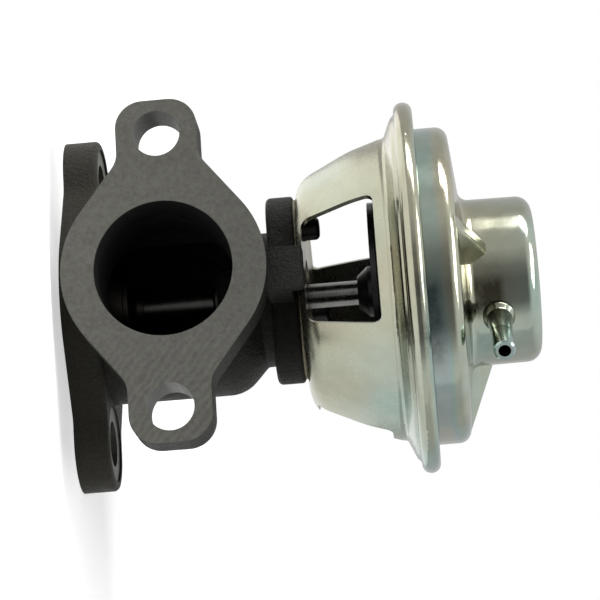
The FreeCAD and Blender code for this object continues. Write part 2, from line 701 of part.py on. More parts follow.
def hub_spacer():
    """The cone-shaped hub under the lower plate."""
    low = LOWER_PLATE_Z - HUB_SPACER_HIGH
    bore = STEM_R + PRESS_GAP
    edge = LOWER_PLATE_Z - HUB_SPACER_EDGE
    return revolve([(bore, low, 0), (HUB_SPACER_SMALL_R, low, 0), (HUB_SPACER_R, edge, 0),
                    (HUB_SPACER_R, LOWER_PLATE_Z, 0), (bore, LOWER_PLATE_Z, 0)])


def lower_plate():
    """The flat disc under the diaphragm."""
    return tube(PLATE_R, STUD_R + PRESS_GAP, LOWER_PLATE_Z, LOWER_PLATE_Z + PLATE_THICK)


def upper_plate():
    """The dish on top of the diaphragm, with a turned-up rim."""
    high = UPPER_PLATE_Z + PLATE_RIM_HIGH
    path = [(STUD_R + PRESS_GAP, UPPER_PLATE_Z, 0), (PLATE_R, UPPER_PLATE_Z, PLATE_RIM_ROUND),
            (PLATE_R, high, 0)]
    return revolved_sheet(path, PLATE_THICK)


def stem_washer():
    """The washer between the upper plate and the nut."""
    low = UPPER_PLATE_Z + PLATE_THICK
    return tube(STEM_WASHER_R, STUD_R + PRESS_GAP, low, low + STEM_WASHER_THICK)


def stem_nut():
    """The nut that clamps both plates and the diaphragm on the stud."""
    low = UPPER_PLATE_Z + PLATE_THICK + STEM_WASHER_THICK
    high = low + STEM_NUT_HIGH
    return hexagon(STEM_NUT_FLATS, low, high).cut(rod(STUD_R + PRESS_GAP, low, high))


def spring_seat():
    """The cup in the roof of the cover that centres the spring."""
    roof = TOP_Z - COVER_SHEET
    cup_r = SPRING_R - SPRING_WIRE_R - SPRING_SEAT_ROOM
    flat_r = DOME_DRUM_R - DOME_TAPER - DOME_CORNER - SEAT_GAP
    cup_z = roof - SPRING_SEAT_CUP_HIGH
    flat_z = roof - SPRING_SEAT_SHEET
    path = [(SPRING_SEAT_HOLE_R, cup_z, 0), (cup_r, cup_z, SPRING_SEAT_ROUND), (cup_r, flat_z, SEAT_GAP),
            (flat_r, flat_z, 0)]
    return revolved_sheet(path, SPRING_SEAT_SHEET)


def return_spring():
    """The coil between the upper plate and the roof cup, ground flat at both ends."""
    low = UPPER_PLATE_Z + PLATE_THICK + CLAMP_GAP
    high = TOP_Z - COVER_SHEET - SPRING_SEAT_SHEET - CLAMP_GAP
    ground = SPRING_GROUND * SPRING_WIRE_R
    start = low + ground
    height = high - low - 2 * ground
    helix = Part.makeHelix(height / SPRING_TURNS, height, SPRING_R)
    helix.translate(V(0, 0, start))
    corners = []
    for i in range(SPRING_SIDES + 1):
        angle = math.radians(360 * (i + 0.5) / SPRING_SIDES)
        corners.append(V(SPRING_R + SPRING_WIRE_R * math.cos(angle), 0,
                         start + SPRING_WIRE_R * math.sin(angle)))
    section = Part.makePolygon(corners)
    coil = Part.Wire(helix).makePipeShell([section], True, True)
    return coil.common(rod(SPRING_R + 3 * SPRING_WIRE_R, low, high))


NODES = [valve_body, valve_seat, valve_head, head_nut, valve_stem, stem_guide, stem_seal, seal_cup,
         seal_ring, body_gasket, bracket, bracket_screws, screw_washers, diaphragm_cover, vacuum_nipple,
         diaphragm, hub_spacer, lower_plate, upper_plate, stem_washer, stem_nut, spring_seat,
         return_spring]

os.makedirs("parts", exist_ok=True)
for build in NODES:
    shape = build()
    name = build.__name__
    shape.exportStep("parts/" + name + ".step")
    print(name, shape.ShapeType, len(shape.Solids), "solids", round(shape.Volume, 1), "mm3", shape.isValid())
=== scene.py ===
# %% [markdown]
# Vacuum-operated exhaust gas recirculation valve
#
# The part is a cast iron elbow with two bolt flanges, a pressed and zinc-plated bracket, and a stepped
# drum that holds a rubber diaphragm and its spring. The construction comes in ready-made, at its real
# size and place, and this lesson dresses it: first the camera and the light, then one finish after
# another, then the two pieces that change their shape as the valve lifts.

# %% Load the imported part
import json
import math

import bpy
from mathutils import Matrix, Vector


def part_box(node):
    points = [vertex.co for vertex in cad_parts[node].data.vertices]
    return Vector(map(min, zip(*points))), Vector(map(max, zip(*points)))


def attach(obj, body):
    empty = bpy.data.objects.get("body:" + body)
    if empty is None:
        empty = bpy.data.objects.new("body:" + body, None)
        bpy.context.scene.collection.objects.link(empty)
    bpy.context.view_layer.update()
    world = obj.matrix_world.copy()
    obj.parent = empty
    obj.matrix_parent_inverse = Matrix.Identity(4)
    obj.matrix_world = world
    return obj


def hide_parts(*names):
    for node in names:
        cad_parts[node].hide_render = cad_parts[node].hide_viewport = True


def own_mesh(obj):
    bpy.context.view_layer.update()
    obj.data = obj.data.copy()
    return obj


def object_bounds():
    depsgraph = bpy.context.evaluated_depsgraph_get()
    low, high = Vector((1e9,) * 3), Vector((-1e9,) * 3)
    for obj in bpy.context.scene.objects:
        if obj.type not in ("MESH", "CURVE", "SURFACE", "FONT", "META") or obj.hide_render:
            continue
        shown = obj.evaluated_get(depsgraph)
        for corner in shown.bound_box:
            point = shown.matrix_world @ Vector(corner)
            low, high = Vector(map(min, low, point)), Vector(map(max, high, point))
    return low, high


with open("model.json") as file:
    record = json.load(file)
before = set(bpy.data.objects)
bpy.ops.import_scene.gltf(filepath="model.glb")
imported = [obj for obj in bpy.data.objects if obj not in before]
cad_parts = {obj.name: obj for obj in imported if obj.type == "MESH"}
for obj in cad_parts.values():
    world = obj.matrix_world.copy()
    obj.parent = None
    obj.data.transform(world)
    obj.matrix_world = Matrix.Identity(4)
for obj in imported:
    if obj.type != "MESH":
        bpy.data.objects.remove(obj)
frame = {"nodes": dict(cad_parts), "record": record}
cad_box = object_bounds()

MM = 0.001
record = frame["record"]

# %% [markdown]
# The photograph was taken with a long lens from a little more than half a metre, and it is turned:
# its right is the part's +Z, along the stem. So the camera gets its own three directions, and they
# become the columns of its matrix. A camera looks along its own -Z, so the third column points back.

# %% Set up the camera
PHOTO_PIXELS = 600
LENS_PIXELS = 2223.4
SENSOR = 36.0
NEAREST_SEEN = 0.01
CAMERA_PLACE = Vector((0.14293, -0.52053, 0.08308))
LOOK = Vector((-0.26338, 0.96328, -0.05209)).normalized()
PICTURE_RIGHT = Vector((0.06681, 0.07208, 0.99516))

right = (PICTURE_RIGHT - LOOK * PICTURE_RIGHT.dot(LOOK)).normalized()
up = right.cross(LOOK)
bpy.ops.object.camera_add()
camera = bpy.context.object
camera.name = "camera"
camera.data.sensor_width = SENSOR
camera.data.lens = SENSOR * LENS_PIXELS / PHOTO_PIXELS
camera.data.clip_start = NEAREST_SEEN
camera.matrix_world = Matrix.Translation(CAMERA_PLACE) @ Matrix((right, up, -LOOK)).transposed().to_4x4()
bpy.context.scene.camera = camera
print("camera lens in mm:", round(camera.data.lens, 1))

# %% [markdown]
# Every finish below is a small tree of nodes. Writing each link out takes three lines, so one helper
# adds a node, sets its plain values and joins its sockets, and the trees stay short enough to read.

# %% Helpers that start a material
def add(tree, kind, inputs=None, **settings):
    """A new node of that kind, with its settings, and its inputs set to values or joined to sockets."""
    made = tree.nodes.new("ShaderNode" + kind)
    for name, value in settings.items():
        setattr(made, name, value)
    for name, value in (inputs or {}).items():
        if isinstance(value, bpy.types.NodeSocket):
            tree.links.new(value, made.inputs[name])
        else:
            made.inputs[name].default_value = value
    return made


def new_material(name):
    """A material with only a Principled shader, and its tree."""
    material = bpy.data.materials.new(name)
    material.use_nodes = True
    tree = material.node_tree
    tree.nodes.clear()
    shader = add(tree, "BsdfPrincipled")
    output = add(tree, "OutputMaterial", {"Surface": shader.outputs["BSDF"]})
    output.is_active_output = True
    return material, tree, shader


def place_of(tree):
    """The point's place in the part's frame, whole and split into x, y and z."""
    place = add(tree, "TexCoord").outputs["Object"]
    parts = add(tree, "SeparateXYZ", {"Vector": place})
    return place, parts.outputs["X"], parts.outputs["Y"], parts.outputs["Z"]


print("a material starts as one Principled shader")

# %% [markdown]
# The rest of each tree is sums and mixes. These helpers name what the nodes do: a noise, a ramp, a mix, a
# bump, and tests that are 1 on one side of a limit and 0 on the other, which are called masks here.

# %% Helpers that mix and measure
def maths(tree, operation, first, second=0.0, third=0.0):
    """One sum on up to three values."""
    made = add(tree, "Math", {0: first, 1: second, 2: third}, operation=operation)
    return made.outputs["Value"]


def spread(tree, value, low, high, most=1.0):
    """0 at the low limit, rising to the most at the high one, and steady past both."""
    inputs = {"Value": value, "From Min": low, "From Max": high, "To Max": most}
    return add(tree, "MapRange", inputs).outputs["Result"]


def noise(tree, place, scale, detail=3.0, roughness=0.5):
    """A noise value from 0 to 1, whose grains are about one over the scale across."""
    inputs = {"Vector": place, "Scale": scale, "Detail": detail, "Roughness": roughness}
    return add(tree, "TexNoise", inputs).outputs["Fac"]


def stretched(tree, place, scale, turn=0.0):
    """The place stretched along x, y and z, and turned about y, for noise that runs one way."""
    inputs = {"Vector": place, "Scale": scale, "Rotation": (0.0, turn, 0.0)}
    return add(tree, "Mapping", inputs).outputs["Vector"]


def ramp(tree, value, *stops):
    """Colours or greys spread over a value, each stop a position and a colour."""
    made = add(tree, "ValToRGB", {"Fac": value})
    points = made.color_ramp.elements
    while len(points) < len(stops):
        points.new(0.5)
    for point, (position, colour) in zip(points, stops):
        point.position = position
        if isinstance(colour, (int, float)):
            colour = (colour,) * 3
        point.color = (*colour, 1.0)
    return made.outputs["Color"]


def mixed(tree, share, first, second, blend="MIX"):
    """The two colours mixed by a share from 0 to 1."""
    made = add(tree, "Mix", {"Factor": share, "A": first, "B": second}, data_type="RGBA", blend_type=blend)
    return made.outputs["Result"]


def bump(tree, height, distance, strength):
    inputs = {"Height": height, "Distance": distance, "Strength": strength}
    return add(tree, "Bump", inputs).outputs["Normal"]


def below(tree, value, limit):
    """1 where the value is under the limit."""
    return maths(tree, "LESS_THAN", value, limit)


def both(tree, first, second):
    """1 where both masks are 1."""
    return maths(tree, "MULTIPLY", first, second)


def either(tree, first, second):
    """1 where at least one mask is 1."""
    return maths(tree, "MAXIMUM", first, second)


def within(tree, value, low, high, soft):
    """1 between the two limits, fading to 0 over the soft length outside them."""
    return both(tree, spread(tree, value, low - soft, low), spread(tree, value, high + soft, high))


def distance_from(tree, first, second, first_centre, second_centre):
    """How far a point is from an axis, from two of its coordinates."""
    across = maths(tree, "SUBTRACT", first, first_centre)
    along = maths(tree, "SUBTRACT", second, second_centre)
    across_squared = maths(tree, "MULTIPLY", across, across)
    along_squared = maths(tree, "MULTIPLY", along, along)
    return maths(tree, "SQRT", maths(tree, "ADD", across_squared, along_squared))


print("helpers for node trees are ready")

# %% [markdown]
# The photograph is a catalogue picture on white. Plated metal shows what stands round it, and if that is
# white on every side a drum looks like a flat disc of paper. In the photograph the drums show a wide dark
# band where they mirror the camera's side, and pale walls elsewhere. So the world is white as the camera
# sees it, a ring of greys round the stem as polished metal sees it, and dimmer for matt surfaces, which
# the lamps light. The ring is a list of directions, in degrees round the stem from -X towards -Y, each
# with the grey of the wall there. What lies well above or below is white.

# %% White surround
CAMERA_SIDE = math.degrees(math.atan2(-CAMERA_PLACE.y, -CAMERA_PLACE.x))
WHITE = (1.0, 1.0, 1.0, 1.0)
MATTE_SEES = (0.30, 0.30, 0.30, 1.0)
WALLS = [(-180, 0.70), (-100, 0.62), (-35, 0.66), (0, 0.70), (40, 0.76), (58, 0.74), (70, 0.56), (84, 0.30),
         (104, 0.20), (136, 0.24), (148, 0.55), (158, 0.92), (180, 1.0)]
OVERHEAD_FROM = 0.40
OVERHEAD_WHOLE = 0.75

world = bpy.data.worlds.new("studio")
bpy.context.scene.world = world
world.use_nodes = True
tree = world.node_tree
tree.nodes.clear()
way = add(tree, "SeparateXYZ", {"Vector": add(tree, "TexCoord").outputs["Generated"]}).outputs
from_y = maths(tree, "MULTIPLY", way["Y"], -1.0)
from_x = maths(tree, "MULTIPLY", way["X"], -1.0)
turn = maths(tree, "MULTIPLY_ADD", maths(tree, "ARCTAN2", from_y, from_x), 0.5 / math.pi, 0.5)
walls = ramp(tree, turn, *[(degrees / 360 + 0.5, tone) for degrees, tone in WALLS])
overhead = spread(tree, maths(tree, "ABSOLUTE", way["Z"]), OVERHEAD_FROM, OVERHEAD_WHOLE)
mirrored = mixed(tree, overhead, walls, WHITE)
path = add(tree, "LightPath").outputs
seen = mixed(tree, path["Is Glossy Ray"], MATTE_SEES, mirrored)
seen = mixed(tree, either(tree, path["Is Camera Ray"], path["Is Transmission Ray"]), seen, WHITE)
background = add(tree, "Background", {"Color": seen, "Strength": 1.0})
add(tree, "OutputWorld", {"Surface": background.outputs["Background"]})
bpy.context.scene.view_settings.view_transform = "Standard"
print("the camera stands at", round(CAMERA_SIDE), "degrees; the walls turn dark there")

# %% [markdown]
# The floor is a matte sheet, so it takes the shadow of the part. A sheet lit by soft lamps never
# renders quite white, so it also glows a little, but only for rays that come from the camera, from a
# mirror or through glass. The part's matt surfaces are lit as by a plain sheet.

# %% Pale floor
FLOOR_R = 0.32
FLOOR_SIDES = 96
FLOOR_COLOUR = (0.80, 0.80, 0.80, 1.0)
FLOOR_ROUGH = 0.9
FLOOR_GLOW = 0.52

floor_material, tree, shader = new_material("floor_sheet")
shader.inputs["Base Color"].default_value = FLOOR_COLOUR
shader.inputs["Roughness"].default_value = FLOOR_ROUGH
shader.inputs["Specular IOR Level"].default_value = 0.0
path = add(tree, "LightPath").outputs
seen = either(tree, path["Is Camera Ray"], path["Is Glossy Ray"])
seen = either(tree, seen, path["Is Transmission Ray"])
shader.inputs["Emission Color"].default_value = WHITE
tree.links.new(maths(tree, "MULTIPLY", seen, FLOOR_GLOW), shader.inputs["Emission Strength"])

bpy.ops.object.select_all(action="DESELECT")
bpy.ops.mesh.primitive_circle_add(vertices=FLOOR_SIDES, radius=FLOOR_R, fill_type="NGON",
                                  location=(0, 0, cad_box[0].z))
floor = bpy.context.object
floor.name = "floor"
floor.data.materials.append(floor_material)
print("floor at", round(floor.location.z, 4), "m")

# %% [markdown]
# Two large soft lamps do the rest: one over the drum, and one on the side that is up in the photograph.
# They are what draws the bright lines along every rounded edge, and the side away from them stays dark.
# A third, weak one lies on the floor, because the bracket's upper leg leans that way and mirrors it.

# %% Soft lamps
def soft_lamp(name, place, aim, width, height, power):
    """A rectangular lamp at that place, turned to its aim. Lengths are in metres, the power in watts."""
    bpy.ops.object.light_add(type="AREA", location=place)
    lamp = bpy.context.object
    lamp.name = name
    lamp.data.shape = "RECTANGLE"
    lamp.data.size = width
    lamp.data.size_y = height
    lamp.data.energy = power
    lamp.rotation_euler = (Vector(aim) - Vector(place)).to_track_quat("-Z", "Y").to_euler()
    return lamp


MIDDLE = (cad_box[0] + cad_box[1]) / 2
top_lamp = soft_lamp("top_lamp", (-0.10, -0.25, 0.85), MIDDLE, 0.55, 0.30, 4.0)
side_lamp = soft_lamp("side_lamp", (-0.75, -0.25, 0.45), MIDDLE, 0.30, 0.60, 5.0)
low_lamp = soft_lamp("low_lamp", (-0.15, 0.05, 0.003), (-0.15, 0.05, 0.5), 0.16, 0.20, 0.03)
low_lamp.visible_camera = False
print("lamps:", [lamp.name for lamp in (top_lamp, side_lamp, low_lamp)])

# %% [markdown]
# The elbow is sand-cast iron. Its skin keeps the grain of the mould, its dark coating is brown where
# the light rakes over it, and only the two flange faces, the spot faces and the drilled holes are cut
# bare. One material holds both finishes, and simple tests on the place of each point tell which is
# which. The port's and the bolt holes' sizes come with the part, in the list of its mounts. What the
# exhaust gas reaches is black with soot.

# %% Where the casting is cut, and where it is sooty
mounts = {mount["name"]: mount for mount in record["mounts"]}
front_bolts = mounts["front_bolts"]["dims"]
FRONT_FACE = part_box("valve_body")[0].y
PORT_R = mounts["front_port"]["dims"]["r_mm"] * MM
PORT_Z = mounts["front_port"]["pos_m"][2]
BOLT_X = front_bolts["spacing_x_mm"] / 2 * MM
BOLT_R = front_bolts["hole_r_mm"] * MM
SPOT_R = 9.3 * MM
SPOT_TOP = 8.0 * MM
CHAMBER_R = 17.5 * MM
SOOT_FADE = 1.5 * MM
TOUCH = 0.05 * MM


def cut_masks(tree, x, y, z):
    """Two masks: the milled faces of the elbow, and the walls of its drilled holes."""
    side = maths(tree, "ABSOLUTE", x)
    base_hole = distance_from(tree, side, y, BOLT_X, 0.0)
    spot = both(tree, below(tree, base_hole, SPOT_R + TOUCH), below(tree, z, SPOT_TOP))
    front = below(tree, y, FRONT_FACE + TOUCH)
    faces = either(tree, either(tree, front, below(tree, z, TOUCH)), spot)
    front_hole = below(tree, distance_from(tree, side, z, BOLT_X, PORT_Z), BOLT_R + TOUCH)
    behind = maths(tree, "SUBTRACT", 1.0, front)
    return faces, both(tree, front_hole, behind)


def soot_mask(tree, x, y, z):
    """1 in the front port and the chamber behind it, fading out over the port's mouth."""
    bore = below(tree, distance_from(tree, x, z, 0.0, PORT_Z), PORT_R + TOUCH)
    chamber = below(tree, distance_from(tree, x, y, 0.0, 0.0), CHAMBER_R + TOUCH)
    inside = both(tree, bore, either(tree, below(tree, y, 0.0), chamber))
    return both(tree, inside, spread(tree, y, FRONT_FACE, FRONT_FACE + SOOT_FADE))


print("front port:", round(PORT_R / MM, 1), "mm radius, at z", round(PORT_Z / MM, 1), "mm")

# %% [markdown]
# The skin is a dark coating, mottled by the mould's grain, and darker still above the base flange. The cut
# faces are plain grey iron with the cutter's marks: a fine speckle, slanted strokes, and faint waves on the
# lower ear. The bump follows the same noise, so that the light catches what the colour shows.

# %% Cast iron
SKIN_DARK = (0.010, 0.0095, 0.006)
SKIN_LIGHT = (0.050, 0.046, 0.029)
SKIN_CLOUDED = (0.012, 0.0115, 0.009, 1.0)
UPPER_SKIN_COLOUR = (0.004, 0.004, 0.0035, 1.0)
DARKER_FROM = 9.0 * MM
DARKER_FULL = 14.0 * MM
DARKER_SHARE = 0.74
BARE_DARK = (0.105, 0.103, 0.092)
BARE_LIGHT = (0.160, 0.158, 0.142)
BARE_CLOUDED = (0.090, 0.088, 0.077, 1.0)
STROKE_TURN = math.radians(-40)
WAVES_FROM = 12.0 * MM
WAVES_FULL = 22.0 * MM
WAVES_SHARE = 0.13
SOOT = (0.002, 0.002, 0.002, 1.0)
SOOT_SHARE = 0.93
CUT_METALLIC = 0.75
CUT_ROUGH = (0.46, 0.46, 0.46, 1.0)
SOOT_ROUGH = (0.85, 0.85, 0.85, 1.0)
CASTING_GLOSS = 0.26
CASTING_RELIEF = 0.60 * MM
MARK_HEIGHT = 0.05
RING_HEIGHT = 0.16


def cast_skin(tree, z, grain, cloud):
    """The colour of the dark coating."""
    skin = ramp(tree, grain, (0.30, SKIN_DARK), (0.70, SKIN_LIGHT))
    skin = mixed(tree, maths(tree, "MULTIPLY", cloud, 0.6), skin, SKIN_CLOUDED)
    return mixed(tree, spread(tree, z, DARKER_FROM, DARKER_FULL, DARKER_SHARE), skin, UPPER_SKIN_COLOUR)


def cutter_marks(tree, place, x):
    """A value from 0 to 1 for the marks on the cut faces."""
    speckle = noise(tree, place, 1100.0, 4.0, 0.7)
    slanted = stretched(tree, place, (240.0, 60.0, 240.0), STROKE_TURN)
    strokes = noise(tree, slanted, 2.0, 4.0, 0.6)
    inputs = {"Vector": slanted, "Scale": 0.75, "Distortion": 6.0, "Detail": 2.0}
    waves = add(tree, "TexWave", inputs, bands_direction="Z").outputs["Fac"]
    marks = maths(tree, "ADD", maths(tree, "MULTIPLY", speckle, 0.72), maths(tree, "MULTIPLY", strokes, 0.28))
    return mixed(tree, spread(tree, x, WAVES_FROM, WAVES_FULL, WAVES_SHARE), marks, waves)


def casting_height(tree, place, grain, marks, faces, holes, cut):
    """Lumps and grain on the skin, shallow marks on the faces, and the drill's rings in the holes."""
    lumps = noise(tree, place, 420.0, 2.0)
    skin = maths(tree, "ADD", maths(tree, "MULTIPLY", lumps, 0.7), grain)
    height = both(tree, skin, maths(tree, "SUBTRACT", 1.0, cut))
    height = maths(tree, "ADD", height, maths(tree, "MULTIPLY", both(tree, marks, faces), MARK_HEIGHT))
    rings = noise(tree, stretched(tree, place, (60.0, 1400.0, 60.0)), 1.5)
    return maths(tree, "ADD", height, maths(tree, "MULTIPLY", both(tree, rings, holes), RING_HEIGHT))


def cast_iron():
    """The elbow's material: coated skin, cut faces and holes, and soot inside."""
    material, tree, shader = new_material("cast_iron")
    place, x, y, z = place_of(tree)
    faces, holes = cut_masks(tree, x, y, z)
    cut = either(tree, faces, holes)
    soot = maths(tree, "MULTIPLY", soot_mask(tree, x, y, z), SOOT_SHARE)
    grain = noise(tree, place, 1500.0, 4.0, 0.65)
    cloud = noise(tree, place, 45.0, 3.0)
    marks = cutter_marks(tree, place, x)
    bare = ramp(tree, marks, (0.36, BARE_DARK), (0.64, BARE_LIGHT))
    bare = mixed(tree, maths(tree, "MULTIPLY", cloud, 0.35), bare, BARE_CLOUDED)
    colour = mixed(tree, cut, cast_skin(tree, z, grain, cloud), bare)
    rough = mixed(tree, cut, ramp(tree, grain, (0.3, 0.42), (0.7, 0.68)), CUT_ROUGH)
    height = casting_height(tree, place, grain, marks, faces, holes, cut)
    tree.links.new(mixed(tree, soot, colour, SOOT), shader.inputs["Base Color"])
    tree.links.new(maths(tree, "MULTIPLY", cut, CUT_METALLIC), shader.inputs["Metallic"])
    tree.links.new(mixed(tree, soot, rough, SOOT_ROUGH), shader.inputs["Roughness"])
    tree.links.new(bump(tree, height, CASTING_RELIEF, 1.0), shader.inputs["Normal"])
    shader.inputs["Specular IOR Level"].default_value = CASTING_GLOSS
    return material


finishes = {"cast_iron": cast_iron()}
print("made", finishes["cast_iron"].name)

# %% [markdown]
# The bracket, the drum and the hose nipple are steel sheet with a zinc plating that was passivated. The
# film is so thin that it shows faint colours, straw, green and pale blue, in wide soft clouds, over a
# grey metal with fine drawing marks. The film runs with the height too: straw up to the drum's foot, blue
# just above it, then straw and green further up. The plating is also painted bluer towards +X, a painted
# reflection of bluish surroundings on that side. Two dark patches are painted on the front: a brown one
# on the small drum, partly a real stain and partly a painted dark reflection of the camera's side, and a
# bluish one at the foot of the large drum, a painted dark reflection and shade beside the rim's lip. All
# of it comes from the place of the point, so it stays put when the view changes.

# %% Zinc plating with its passivation colours, a stain and painted reflections and shade
ZINC = (0.41, 0.415, 0.395)
WORN_SHARE = 0.88
SHINY = 0.11
DULL = 0.19
SATIN_TOP = 77.0 * MM
SATIN_MORE = 0.12
DRAWING_RELIEF = 0.010 * MM
# Painted reflection: how much bluer the plating turns towards +X.
PAINTED_BLUE_REFLECTION_BELOW = 3.2
FILM_FROM = 80.0 * MM
FILM_TO = 115.0 * MM
FILM_SHARE = 0.85
FILM_BY_HEIGHT = [(0.0, 0.34), (0.13, 0.38), (0.17, 0.72), (0.25, 0.72), (0.31, 0.36), (0.40, 0.42),
                  (0.55, 0.50), (1.0, 0.52)]
FILM_COLOURS = [(0.24, (1.0, 0.92, 0.72)), (0.40, (0.98, 0.98, 0.79)), (0.52, (0.93, 1.0, 0.87)),
                (0.64, (0.78, 1.0, 0.93)), (0.78, (0.80, 0.97, 1.0)), (0.92, (0.98, 0.99, 0.92))]
FRONT_PATCHES_LIMIT = -12.0 * MM
# Brown patch on the small drum: partly a real brown stain, partly a painted dark reflection of the camera's
# side.
BROWN_STAIN_AND_DARK_REFLECTION = {"x": (5.5 * MM, 11.0 * MM, 2.5 * MM), "z": (97.0 * MM, 102.5 * MM, 1.7 * MM),
               "share": 0.88, "colour": (0.085, 0.070, 0.052, 1.0)}
# Bluish patch at the large drum's foot: a painted dark reflection and shade beside the rim's lip.
PAINTED_DARK_BAND_BY_RIM = {"x": (11.0 * MM, 23.0 * MM, 5.0 * MM), "z": (84.5 * MM, 87.5 * MM, 2.0 * MM),
              "share": 0.80, "colour": (0.075, 0.095, 0.105, 1.0)}


def film_colour_and_blue_reflection(tree, place, x, z):
    """The colour of the film, from soft clouds and the height, with a painted bluish reflection towards +X.
    """
    # Bluer towards +X: a painted reflection of bluish surroundings on that side.
    cloud = maths(tree, "MULTIPLY_ADD", x, PAINTED_BLUE_REFLECTION_BELOW, noise(tree, place, 30.0, 2.0, 0.45))
    film = ramp(tree, spread(tree, z, FILM_FROM, FILM_TO), *FILM_BY_HEIGHT)
    shift = maths(tree, "MULTIPLY_ADD", film, FILM_SHARE, -0.5 * FILM_SHARE)
    return ramp(tree, maths(tree, "ADD", cloud, shift), *FILM_COLOURS)


def stained_and_shaded(tree, place, x, y, z, grey):
    """The grey of the metal with two patchy dark patches on it: a brown one, partly a real stain and partly a
    painted dark reflection, and a painted dark reflection and shade beside the rim's lip.
    """
    patchy = ramp(tree, noise(tree, place, 150.0, 5.0, 0.7), (0.38, 0.35), (0.60, 1.0))
    front = below(tree, y, FRONT_PATCHES_LIMIT)
    for dark_patch in (BROWN_STAIN_AND_DARK_REFLECTION, PAINTED_DARK_BAND_BY_RIM):
        spot = both(tree, within(tree, x, *dark_patch["x"]), within(tree, z, *dark_patch["z"]))
        spot = both(tree, both(tree, spot, front), patchy)
        grey = mixed(tree, maths(tree, "MULTIPLY", spot, dark_patch["share"]), grey, dark_patch["colour"])
    return grey


def zinc_plating():
    """The material of the bracket, the drum and the nipple."""
    material, tree, shader = new_material("zinc_plated_steel")
    place, x, y, z = place_of(tree)
    worn = noise(tree, place, 160.0, 4.0, 0.6)
    grey = ramp(tree, worn, (0.35, tuple(WORN_SHARE * value for value in ZINC)), (0.65, ZINC))
    grey = stained_and_shaded(tree, place, x, y, z, grey)
    colour = mixed(tree, 1.0, grey, film_colour_and_blue_reflection(tree, place, x, z), "MULTIPLY")
    satin = maths(tree, "MULTIPLY", below(tree, z, SATIN_TOP), SATIN_MORE)
    rough = maths(tree, "ADD", ramp(tree, worn, (0.3, SHINY), (0.7, DULL)), satin)
    drawn = noise(tree, stretched(tree, place, (700.0, 700.0, 40.0)), 1.0, 2.0)
    height = maths(tree, "ADD", noise(tree, place, 900.0, 3.0, 0.6), drawn)
    tree.links.new(colour, shader.inputs["Base Color"])
    tree.links.new(rough, shader.inputs["Roughness"])
    tree.links.new(bump(tree, height, DRAWING_RELIEF, 0.6), shader.inputs["Normal"])
    shader.inputs["Metallic"].default_value = 1.0
    return material


finishes["zinc_plated_steel"] = zinc_plating()
print("made", finishes["zinc_plated_steel"].name)

# %% [markdown]
# The ground stem, the blackened screws, the hardened seat and the wire spring differ in colour and
# gloss, but all are steel with fine marks, so one function makes them. What the exhaust gas reaches,
# inside the casting, is dull with soot.

# %% Steels
SOOT_TOP = 49.0 * MM
STEEL_SOOT = (0.012, 0.011, 0.010, 1.0)
STEEL_SOOT_ROUGH = (0.42, 0.42, 0.42, 1.0)
STEEL_SOOT_SHARE = 0.82
STEEL_GRAIN = 350.0
STEEL_RELIEF = 0.02 * MM


def steel(name, dark, light, low_rough, high_rough, metallic=1.0):
    """A steel whose colour and roughness run between two values, dull with soot below the deck."""
    material, tree, shader = new_material(name)
    place, _, _, z = place_of(tree)
    worn = noise(tree, place, STEEL_GRAIN, 4.0, 0.6)
    soot = maths(tree, "MULTIPLY", below(tree, z, SOOT_TOP), STEEL_SOOT_SHARE)
    colour = mixed(tree, soot, ramp(tree, worn, (0.3, dark), (0.7, light)), STEEL_SOOT)
    rough = mixed(tree, soot, ramp(tree, worn, (0.3, low_rough), (0.7, high_rough)), STEEL_SOOT_ROUGH)
    tree.links.new(colour, shader.inputs["Base Color"])
    tree.links.new(rough, shader.inputs["Roughness"])
    tree.links.new(bump(tree, worn, STEEL_RELIEF, 0.5), shader.inputs["Normal"])
    shader.inputs["Metallic"].default_value = metallic
    return material


finishes["bright_steel"] = steel("bright_steel", (0.22, 0.22, 0.21), (0.34, 0.335, 0.32), 0.20, 0.36)
finishes["black_steel"] = steel("black_steel", (0.012, 0.012, 0.013), (0.035, 0.034, 0.034), 0.25, 0.45, 0.4)
finishes["seat_steel"] = steel("seat_steel", (0.10, 0.09, 0.08), (0.20, 0.19, 0.17), 0.30, 0.50)
finishes["spring_steel"] = steel("spring_steel", (0.16, 0.15, 0.14), (0.30, 0.29, 0.27), 0.25, 0.40)
print("steels:", [name for name in finishes if name.endswith("steel")])

# %% [markdown]
# The diaphragm is moulded rubber, matt with a faint bloom. The gasket is compressed fibre sheet, pale
# and slightly speckled, and shows only as a thin light line round the deck.

# %% Rubber and gasket sheet
def matt(name, dark, light, rough, scale, relief):
    """A matt material with one even grain."""
    material, tree, shader = new_material(name)
    grain = noise(tree, place_of(tree)[0], scale, 4.0, 0.6)
    tree.links.new(ramp(tree, grain, (0.3, dark), (0.7, light)), shader.inputs["Base Color"])
    tree.links.new(bump(tree, grain, relief, 0.7), shader.inputs["Normal"])
    shader.inputs["Roughness"].default_value = rough
    return material


finishes["rubber"] = matt("rubber", (0.010, 0.010, 0.010), (0.030, 0.029, 0.028), 0.62, 700.0, 0.05 * MM)
finishes["gasket_sheet"] = matt("gasket_sheet", (0.30, 0.27, 0.18), (0.52, 0.48, 0.36), 0.8, 900.0, 0.06 * MM)
print("finishes:", sorted(finishes))

# %% [markdown]
# The record that comes with the part says which finish each of its pieces has, so one loop dresses them
# all, and a piece that joins the construction later gets its finish with no change here.

# %% Give every node its finish
slots = {part["node"]: part["material_slot"] for part in record["subparts"]}
for name, node in frame["nodes"].items():
    finish = finishes[slots[name]]
    if not node.material_slots:
        node.data.materials.append(finish)
    for socket in node.material_slots:
        socket.material = finish
print("dressed", len(slots), "nodes")

